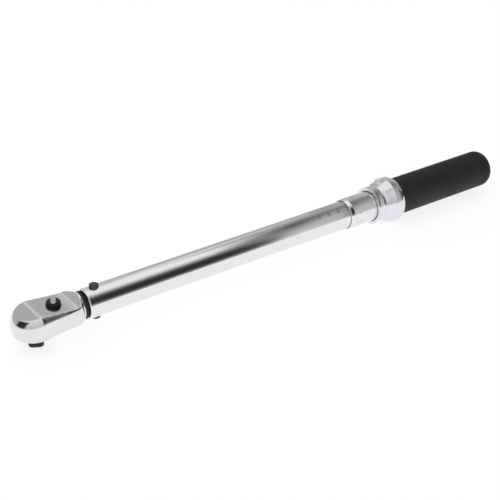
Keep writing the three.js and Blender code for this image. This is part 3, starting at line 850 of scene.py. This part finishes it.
spring_ = make("lock_spring_fine", v_, f_, WIRE, "handle", replaces=("lock_spring",), slot="spring_steel")
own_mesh(spring_)
for i_, nm_ in enumerate(("lock_ball_a", "lock_ball_b", "lock_ball_c")):
    a_ = math.radians(120 * i_)
    sphere(nm_ + "_fine", 1.18, (277.5, -11.35 * math.sin(a_), 11.35 * math.cos(a_)), PLAIN, nm_, nm_, 24, 14)

# ---------------------------------------------------------------- grip
G0, GS, G1 = 285.0, 331.5, 378.0
gs_prof = fillet([(G0, 12.35, 0.1), (295, 12.35), (295, 11.3), (GS - 0.12, 11.3), (GS - 0.12, GR, 0.2), (G0 + 1.4, GR, 0.8), (G0, GR - 0.25, 0.3), (G0, 12.35)], 5)
lathe("grip_front", gs_prof, 160, PLASTIC, "handle", replaces=("grip_sleeve",), slot="black_plastic", smooth=30)
# rear piece: rounded end with fine concentric steps
rear = [(GS + 0.1, 11.3), (371, 11.3, 0.3), (371, 6.6, 0.3), (G1 - 0.1, 6.6, 0.2)]
dome = []
for k in range(0, 9):
    w = math.radians(8 + 82 * k / 8)
    dome.append((G1 - 6.6 + 6.6 * math.cos(w), GR - 6.6 + 6.6 * math.sin(w)))
end = [(G1, 7.4, 0.3)]
for a_, r_ in dome[:-1]:
    end.append((a_, r_, 0.4))
rear += end + [(G1 - 6.6, GR, 1.0)]
# two fine grooves in front of the rounded end
for gx in (369.2, 366.6, 364.0):
    rear += [(gx + 0.45, GR, 0.15), (gx + 0.2, GR - 0.28, 0.12), (gx - 0.2, GR - 0.28, 0.12), (gx - 0.45, GR, 0.15)]
rear += [(GS + 0.1, GR, 0.2), (GS + 0.1, 11.3)]
lathe("grip_back", fillet(rear, 4), 160, PLASTIC, "handle", replaces=("grip_rear",), slot="black_plastic", smooth=32)
cap_prof = fillet([(372, 0), (372, 5.6, 0.3), (375.4, 6.25, 0.3), (G1 + 0.15, 6.25, 0.35), (G1 + 0.75, 5.0, 0.6), (G1 + 0.75, 3.6, 0.2), (G1 + 0.35, 3.3, 0.2), (G1 + 0.35, 0)], 4)
lathe("grip_end_cap", cap_prof, 96, PLASTIC_CAP, "handle", replaces=("end_cap",), slot="black_plastic", smooth=32)

# ---------------------------------------------------------------- torque scale on the tube and the marks of the thimble
def wrap(quads2d, r0, r1, base_deg):
    """each outline [(x, arc)] becomes a thin closed plate bent round the axis; arc is in mm along the circumference"""
    V, F = [], []
    for outline in quads2d:
        n = len(outline)
        o = len(V)
        for r in (r0, r1):
            for x, arc in outline:
                w = math.radians(base_deg) + arc / r1
                V.append((x, r * math.cos(w), r * math.sin(w)))
        F.append(tuple(o + k for k in range(n - 1, -1, -1)))
        F.append(tuple(o + n + k for k in range(n)))
        F += [(o + k, o + (k + 1) % n, o + n + (k + 1) % n, o + n + k) for k in range(n)]
    return V, F


def bar(x0, x1, a0, a1):
    n = max(1, int(abs(a1 - a0) / 0.5))
    up = [(x1, a0 + (a1 - a0) * i / n) for i in range(n + 1)]
    dn = [(x0, a1 - (a1 - a0) * i / n) for i in range(n + 1)]
    return up + dn


# seven-segment-free digits drawn as stroked polylines on a 0..1 by 0..1.6 grid
GLYPHS = {
    "0": [[(0.1, 0.4), (0.1, 1.2), (0.3, 1.55), (0.7, 1.55), (0.9, 1.2), (0.9, 0.4), (0.7, 0.05), (0.3, 0.05), (0.1, 0.4)]],
    "1": [[(0.25, 1.2), (0.55, 1.55), (0.55, 0.05)]],
    "2": [[(0.1, 1.2), (0.3, 1.55), (0.7, 1.55), (0.9, 1.2), (0.9, 0.95), (0.1, 0.05), (0.9, 0.05)]],
    "3": [[(0.1, 1.3), (0.35, 1.55), (0.7, 1.55), (0.9, 1.3), (0.9, 1.05), (0.65, 0.82), (0.9, 0.6), (0.9, 0.3), (0.7, 0.05), (0.35, 0.05), (0.1, 0.3)]],
    "4": [[(0.7, 0.05), (0.7, 1.55), (0.1, 0.5), (0.95, 0.5)]],
    "5": [[(0.85, 1.55), (0.2, 1.55), (0.15, 0.9), (0.6, 0.95), (0.9, 0.7), (0.9, 0.3), (0.65, 0.05), (0.3, 0.05), (0.1, 0.25)]],
    "6": [[(0.8, 1.45), (0.5, 1.55), (0.25, 1.3), (0.1, 0.7), (0.1, 0.35), (0.35, 0.05), (0.65, 0.05), (0.9, 0.35), (0.9, 0.6), (0.65, 0.88), (0.35, 0.88), (0.12, 0.65)]],
    "7": [[(0.1, 1.55), (0.9, 1.55), (0.4, 0.05)]],
    "8": [[(0.5, 0.85), (0.2, 1.1), (0.2, 1.35), (0.4, 1.55), (0.6, 1.55), (0.8, 1.35), (0.8, 1.1), (0.5, 0.85), (0.12, 0.6), (0.12, 0.3), (0.35, 0.05), (0.65, 0.05), (0.88, 0.3), (0.88, 0.6), (0.5, 0.85)]],
    "9": [[(0.2, 0.15), (0.5, 0.05), (0.75, 0.3), (0.9, 0.9), (0.9, 1.25), (0.65, 1.55), (0.35, 1.55), (0.1, 1.25), (0.1, 1.0), (0.35, 0.72), (0.65, 0.72), (0.88, 0.95)]],
}


def stroke(p, q, w):
    p, q = Vector(p), Vector(q)
    d = (q - p)
    if d.length < 1e-6:
        return None
    d.normalize()
    n = Vector((-d.y, d.x)) * w / 2
    e = d * w * 0.35
    return [tuple(p - e + n), tuple(p - e - n), tuple(q + e - n), tuple(q + e + n)]


def number(text, cx, ca, size, turn):
    """digits centred at (x, arc). turn: direction of reading in the unrolled plane, +1 reads along +arc, -1 along -arc"""
    out = []
    total = len(text) * 1.0 + (len(text) - 1) * 0.25
    for i, ch in enumerate(text):
        off = i * 1.25 - total / 2
        for line in GLYPHS[ch]:
            for a, b in zip(line, line[1:]):
                s = stroke((a[0], a[1]), (b[0], b[1]), 0.2)
                if s:
                    o = []
                    for u, v in s:
                        gx, gy = (u + off) * size, (v - 0.8) * size
                        # digits stand with their tops towards the head
                        o.append((cx - gy, ca + turn * gx))
                    out.append(o)
    return out


marks = []
SC0, STEP = 240.0 + 0.3, 2.0
# reading line and cross lines, one per turn of the handle
for base, top, first, inc, every in ((90.0, 1, 10, 5, 2), (270.0, 1, 14, 7, 2)):
    shapes = [bar(SC0 - 30.0, SC0 - 1.0, -0.13, 0.13)]
    for k in range(15):
        x = SC0 - 1.4 - STEP * k
        big = k % every == 0
        half = 4.2 if big else 2.6
        shapes.append(bar(x - 0.13, x + 0.13, -half, -0.16))
        shapes.append(bar(x - 0.13, x + 0.13, 0.16, half))
        if big:
            side = -1 if (k // 2) % 2 else 1
            shapes += number(str(first + inc * k), x, side * 6.4, 1.25, -1)
    V, F = wrap(shapes, TR - 0.03, TR + 0.012, base)
    marks.append(make("tube_scale_top" if base < 180 else "tube_scale_bottom", V, F, INK, "tube", smooth=20, slot="black_plastic"))
# ten divisions round the front bevel of the thimble, on its cylindrical part, numbered on the even ones
shapes = []
for k in range(20):
    arc = (k / 20) * 2 * math.pi * THR
    L = 2.6 if k % 2 == 0 else 1.5
    shapes.append(bar(TH0 + 4.0, TH0 + 4.0 + L, arc - 0.1, arc + 0.1))
    if k % 2 == 0:
        shapes += number(str(k // 2), TH0 + 8.4, arc, 1.15, -1)
V, F = wrap(shapes, THR - 0.03, THR + 0.012, 90.0)
make("thimble_scale", V, F, INK, "handle", smooth=20, slot="black_plastic")

# ---------------------------------------------------------------- studio: floor, light and camera
FLOOR_SLOPE = 0.0003
X0F = -3.0


def floor_z(x):
    return (x - X0F) * FLOOR_SLOPE


fl = bpy.data.meshes.new("studio_floor")
ext = 6000.0
fl.from_pydata([(sx * ext * S, sy * ext * S, floor_z(sx * ext) * S - 0.00002) for sx, sy in ((-1, -1), (1, -1), (1, 1), (-1, 1))], [], [(0, 1, 2, 3)])
fm, fnt, fb = mat("studio_floor")
fb.inputs["Base Color"].default_value = (0.3, 0.3, 0.3, 1)
fb.inputs["Roughness"].default_value = 0.9
fb.inputs["Specular IOR Level"].default_value = 0.0
fb.inputs["Emission Color"].default_value = (1, 1, 1, 1)
fb.inputs["Emission Strength"].default_value = 0.83
fl.materials.append(fm)
floor = bpy.data.objects.new("studio_floor", fl)
scene.collection.objects.link(floor)

world = bpy.data.worlds.new("studio")
scene.world = world
world.use_nodes = True
wt = world.node_tree
wt.nodes.clear()
wout = wt.nodes.new("ShaderNodeOutputWorld")
wbg = wt.nodes.new("ShaderNodeBackground")
wt.links.new(wbg.outputs[0], wout.inputs[0])
wtc = wt.nodes.new("ShaderNodeTexCoord")
wsep = wt.nodes.new("ShaderNodeSeparateXYZ")
wt.links.new(wtc.outputs["Generated"], wsep.inputs[0])


def wmath(op, a, b=None, c=None):
    n = wt.nodes.new("ShaderNodeMath")
    n.operation = op
    for i, v in enumerate((a, b, c)):
        if v is None:
            continue
        if isinstance(v, bpy.types.NodeSocket):
            wt.links.new(v, n.inputs[i])
        else:
            n.inputs[i].default_value = v
    return n.outputs[0]


def wcurve(val, lo, hi, pts):
    """piecewise-linear curve through (position, grey) points by a colour ramp"""
    t = wmath("DIVIDE", wmath("SUBTRACT", val, lo), hi - lo)
    r = wt.nodes.new("ShaderNodeValToRGB")
    wt.links.new(t, r.inputs[0])
    el = r.color_ramp.elements
    while len(el) > 1:
        el.remove(el[-1])
    first = True
    for p, g in pts:
        q = (p - lo) / (hi - lo)
        if first:
            el[0].position = q
            e = el[0]
            first = False
        else:
            e = el.new(q)
        e.color = (g, g, g, 1)
    return r.outputs["Color"]


def wmix(fac, a, b):
    n = wt.nodes.new("ShaderNodeMix")
    n.data_type = "RGBA"
    for sock, v in ((n.inputs["Factor"], fac), (n.inputs["A"], a), (n.inputs["B"], b)):
        if isinstance(v, bpy.types.NodeSocket):
            wt.links.new(v, sock)
        else:
            sock.default_value = v
    return n.outputs["Result"]


# angle round the wrench's long axis: 0 in front (-Y), 90 overhead, 180 behind (+Y)
ang = wmath("MULTIPLY", wmath("ARCTAN2", wsep.outputs["Z"], wmath("MULTIPLY", wsep.outputs["Y"], -1.0)), 180 / math.pi)
tube_light = wcurve(ang, -180, 180, [(-180, 0.9), (-65, 0.85), (-45, 0.95), (-14, 0.92), (-1, 0.55), (12, 0.12), (22, 0.03), (45, 0.04), (57, 0.15), (70, 0.55), (84, 0.97), (116, 0.97), (135, 0.72), (148, 0.65), (179.9, 0.5)])
light_b = wcurve(ang, -180, 180, [(-180, 0.9), (-65, 0.85), (-14, 0.92), (-1, 0.53), (13, 0.12), (30, 0.03), (42, 0.06), (63, 0.22), (86, 0.49), (121, 0.75), (148, 0.65), (179.9, 0.5)])
light_c = wcurve(ang, -180, 180, [(-180, 0.9), (-65, 0.85), (-14, 0.9), (0, 0.56), (14, 0.16), (28, 0.08), (50, 0.25), (88, 0.25), (106, 0.41), (136, 0.64), (179.9, 0.5)])
light_d = wcurve(ang, -180, 180, [(-180, 0.9), (-65, 0.85), (-10, 0.95), (0, 0.84), (22, 0.6), (44, 0.44), (59, 0.28), (82, 0.11), (99, 0.18), (118, 0.41), (143, 0.56), (179.9, 0.45)])
thimble_light = wcurve(ang, -180, 180, [(-180, 0.9), (-60, 0.75), (-38, 0.85), (-13, 0.87), (0, 0.7), (15, 0.58), (43, 0.58), (57, 0.47), (71, 0.38), (98, 0.23), (120, 0.4), (142, 0.57), (179.9, 0.5)])
rx = wsep.outputs["X"]
env = tube_light
for lo_, hi_, nxt in ((0.45, 0.488, light_b), (0.488, 0.519, light_c), (0.519, 0.549, light_d), (0.56, 0.595, thimble_light)):
    env = wmix(wcurve(rx, -1, 1, [(lo_, 0), (hi_, 1)]), env, nxt)


def wstep(val, lo, hi):
    """0 below lo, 1 above hi"""
    return wmath("MINIMUM", wmath("MAXIMUM", wmath("DIVIDE", wmath("SUBTRACT", val, lo), hi - lo), 0.0), 1.0)


def wband(val, lo, hi, soft):
    """1 between lo and hi, with soft ends"""
    return wmath("MULTIPLY", wstep(val, lo - soft, lo + soft), wmath("SUBTRACT", 1.0, wstep(val, hi - soft, hi + soft)))


def grey(v):
    return (v, v, v, 1)


Y_, Z_ = wsep.outputs["Y"], wsep.outputs["Z"]
# behind the wrench, left of the tube's own light: a dim wall with one upright light strip
back = wmath("MULTIPLY", wband(ang, 126, 170, 6), wmath("SUBTRACT", 1.0, wstep(rx, 0.385, 0.42)))
low = wmath("MULTIPLY", wband(ang, 147, 175, 2), wmath("SUBTRACT", 1.0, wstep(rx, 0.5, 0.55)))
wall = wcurve(rx, -1, 1, [(-1, 0.5), (0.19, 0.48), (0.25, 0.72), (0.36, 0.72), (0.42, 0.48), (1, 0.48)])
env = wmix(wmath("MAXIMUM", back, low), env, wall)
# low light card in front on the left and a dark stand at the far left
card = wmath("MULTIPLY", wmath("SUBTRACT", 1.0, wstep(rx, 0.13, 0.25)), wband(Z_, -0.12, 0.93, 0.06))
card = wmath("MULTIPLY", card, wmath("SUBTRACT", 1.0, wstep(Y_, -0.1, 0.1)))
env = wmix(card, env, wcurve(Z_, -1, 1, [(-1, 0.9), (-0.1, 0.85), (0.15, 0.62), (0.4, 0.7), (0.8, 0.78), (1, 0.8)]))
stand = wmath("MULTIPLY", wband(Z_, 0.06, 0.74, 0.07), wband(Y_, -0.3, 0.45, 0.08))
env = wmix(wmath("MULTIPLY", stand, wmath("SUBTRACT", 1.0, wstep(rx, -0.5, -0.4))), env, grey(0.03))
env = wmix(wmath("MULTIPLY", wstep(rx, 0.612, 0.64), wband(ang, 5, 62, 5)), env, grey(0.04))
path = wt.nodes.new("ShaderNodeLightPath")
env = wmix(path.outputs["Is Camera Ray"], env, (1.0, 1.0, 1.0, 1))
wt.links.new(env, wbg.inputs["Color"])
wbg.inputs["Strength"].default_value = 1.0

cam_data = bpy.data.cameras.new("view")
cam = bpy.data.objects.new("view", cam_data)
scene.collection.objects.link(cam)
cam_data.lens = 84.672
cam_data.sensor_width = 36.0
cam_data.clip_start = 0.01
cam_data.clip_end = 20
A_, E_ = math.radians(-35.7), math.radians(29.0)
right = Vector((math.cos(A_), math.sin(A_), 0))
back = Vector((math.sin(A_) * math.cos(E_), -math.cos(A_) * math.cos(E_), math.sin(E_)))
up = back.cross(right)
cam.matrix_world = Matrix(((right.x, up.x, back.x, -0.243583), (right.y, up.y, back.y, -0.561451), (right.z, up.z, back.z, 0.397411), (0, 0, 0, 1)))
scene.camera = cam
scene.view_settings.view_transform = "Standard"
scene.view_settings.look = "None"
scene.view_settings.exposure = 0.0
scene.view_settings.gamma = 1.0

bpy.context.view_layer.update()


import json
